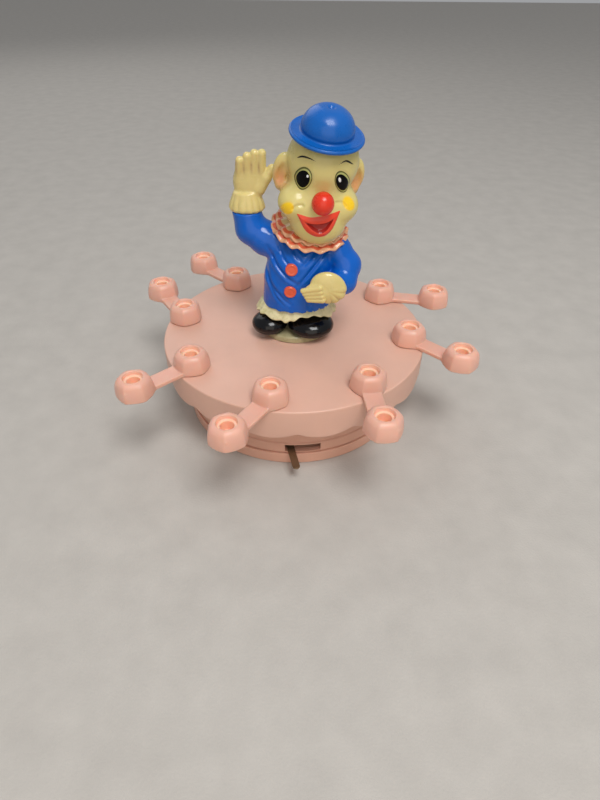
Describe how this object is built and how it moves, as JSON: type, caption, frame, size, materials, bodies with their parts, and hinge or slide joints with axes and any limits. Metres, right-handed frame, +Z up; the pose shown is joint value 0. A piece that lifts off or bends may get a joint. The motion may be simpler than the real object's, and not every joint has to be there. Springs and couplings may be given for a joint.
{
  "type": "musical revolving candle stand",
  "caption": "Round clockwork base with a scalloped turntable, swivelling two-cup candle arms round its edge and a waving clown figure in the middle.",
  "frame": {"origin": "centre of the base's flat underside, on the table, under the turntable's spindle", "axes": "+Z up along the spindle; -Y towards the stop lever's slot, the side the clown faces; +X to the right seen from that side"},
  "size_m": [0.179, 0.1966, 0.155],
  "materials": {
    "pink_plastic": "satin moulded peach-pink plastic",
    "pale_pink_plastic": "paler, slightly translucent moulded pink plastic",
    "blue_paint": "glossy blue paint on plastic",
    "cream_paint": "glossy cream plastic",
    "black_paint": "glossy black paint",
    "red_paint": "glossy orange-red paint",
    "coral_paint": "cream ruff with coral edges",
    "bronze_strip": "dark bronze-coloured metal strip",
    "steel": "plain steel",
    "brass": "plain brass",
    "nylon": "natural nylon"
  },
  "bodies": {
    "base": {"base_shell": "pink_plastic", "bottom_cover": "pink_plastic", "cover_screw_1": "steel", "cover_screw_2": "steel", "cover_screw_3": "steel", "movement_bedplate": "steel", "bedplate_screw_1": "steel", "bedplate_screw_2": "steel", "bedplate_screw_3": "steel", "spring_barrel": "brass", "mainspring": "steel", "comb": "steel", "comb_block": "brass", "comb_screw_1": "steel", "comb_screw_2": "steel", "cylinder_bracket_inner": "steel", "cylinder_bracket_outer": "steel", "governor_frame": "steel", "shaft_bush": "brass", "lever_pivot_screw": "steel", "thrust_washer": "nylon"},
    "turntable": {"turntable_disc": "pink_plastic", "drive_shaft": "steel", "great_wheel": "brass", "turntable_screw": "steel", "figure_screw_1": "steel", "figure_screw_2": "steel", "figure_stand": "cream_paint", "shoe_left": "black_paint", "shoe_right": "black_paint", "hem_frill": "cream_paint", "clown_body": "blue_paint", "raised_hand": "cream_paint", "waist_hand": "cream_paint", "collar_ruff": "coral_paint", "clown_head": "cream_paint", "clown_nose": "red_paint", "clown_hat": "blue_paint"},
    "arm_1": {"candle_arm_1": "pale_pink_plastic", "pivot_clip_1": "steel"},
    "arm_2": {"candle_arm_2": "pale_pink_plastic", "pivot_clip_2": "steel"},
    "arm_3": {"candle_arm_3": "pale_pink_plastic", "pivot_clip_3": "steel"},
    "arm_4": {"candle_arm_4": "pale_pink_plastic", "pivot_clip_4": "steel"},
    "arm_5": {"candle_arm_5": "pale_pink_plastic", "pivot_clip_5": "steel"},
    "arm_6": {"candle_arm_6": "pale_pink_plastic", "pivot_clip_6": "steel"},
    "arm_7": {"candle_arm_7": "pale_pink_plastic", "pivot_clip_7": "steel"},
    "arm_8": {"candle_arm_8": "pale_pink_plastic", "pivot_clip_8": "steel"},
    "cylinder": {"melody_cylinder": "brass"},
    "governor_train": {"governor_wheel": "steel"},
    "governor_fly": {"governor_worm": "steel"},
    "lever": {"stop_lever": "bronze_strip"}
  },
  "joints": [
    {"name": "turntable_spin", "type": "hinge", "parent": "base", "child": "turntable", "pos_m": [0, 0, 0.03], "axis": [0, 0, 1], "continuous": true},
    {"name": "arm_1_swivel", "type": "hinge", "parent": "turntable", "child": "arm_1", "pos_m": [0.05009, 0.03586, 0.0433], "axis": [0, 0, 1], "range_deg": [-3.4, 96.6]},
    {"name": "arm_2_swivel", "type": "hinge", "parent": "turntable", "child": "arm_2", "pos_m": [0.01006, 0.06077, 0.0433], "axis": [0, 0, 1], "range_deg": [-55, 45]},
    {"name": "arm_3_swivel", "type": "hinge", "parent": "turntable", "child": "arm_3", "pos_m": [-0.03586, 0.05009, 0.0433], "axis": [0, 0, 1], "range_deg": [-62, 38]},
    {"name": "arm_4_swivel", "type": "hinge", "parent": "turntable", "child": "arm_4", "pos_m": [-0.06077, 0.01006, 0.0433], "axis": [0, 0, 1], "range_deg": [-3.4, 96.6]},
    {"name": "arm_5_swivel", "type": "hinge", "parent": "turntable", "child": "arm_5", "pos_m": [-0.05009, -0.03586, 0.0433], "axis": [0, 0, 1], "range_deg": [-57, 43]},
    {"name": "arm_6_swivel", "type": "hinge", "parent": "turntable", "child": "arm_6", "pos_m": [-0.01006, -0.06077, 0.0433], "axis": [0, 0, 1], "range_deg": [-27, 73]},
    {"name": "arm_7_swivel", "type": "hinge", "parent": "turntable", "child": "arm_7", "pos_m": [0.03586, -0.05009, 0.0433], "axis": [0, 0, 1], "range_deg": [-21, 79]},
    {"name": "arm_8_swivel", "type": "hinge", "parent": "turntable", "child": "arm_8", "pos_m": [0.06077, -0.01006, 0.0433], "axis": [0, 0, 1], "range_deg": [-16, 84]},
    {"name": "cylinder_spin", "type": "hinge", "parent": "base", "child": "cylinder", "pos_m": [-0.03, 0, 0.0123], "axis": [-1, 0, 0], "continuous": true},
    {"name": "governor_wheel_spin", "type": "hinge", "parent": "base", "child": "governor_train", "pos_m": [-0.03, -0.0081, 0.0123], "axis": [-1, 0, 0], "continuous": true},
    {"name": "governor_spin", "type": "hinge", "parent": "base", "child": "governor_fly", "pos_m": [-0.022, -0.0149, 0.012], "axis": [0, 0, 1], "continuous": true},
    {"name": "stop_lever_swing", "type": "hinge", "parent": "base", "child": "lever", "pos_m": [-0.0062, -0.0352, 0.0087], "axis": [0, 0, 1], "range_deg": [0, 22]}
  ],
  "couplings": [
    {"joint": "cylinder_spin", "follows": "turntable_spin", "ratio": -3.1667},
    {"joint": "governor_wheel_spin", "follows": "turntable_spin", "ratio": 9.5},
    {"joint": "governor_spin", "follows": "turntable_spin", "ratio": 95}
  ]
}
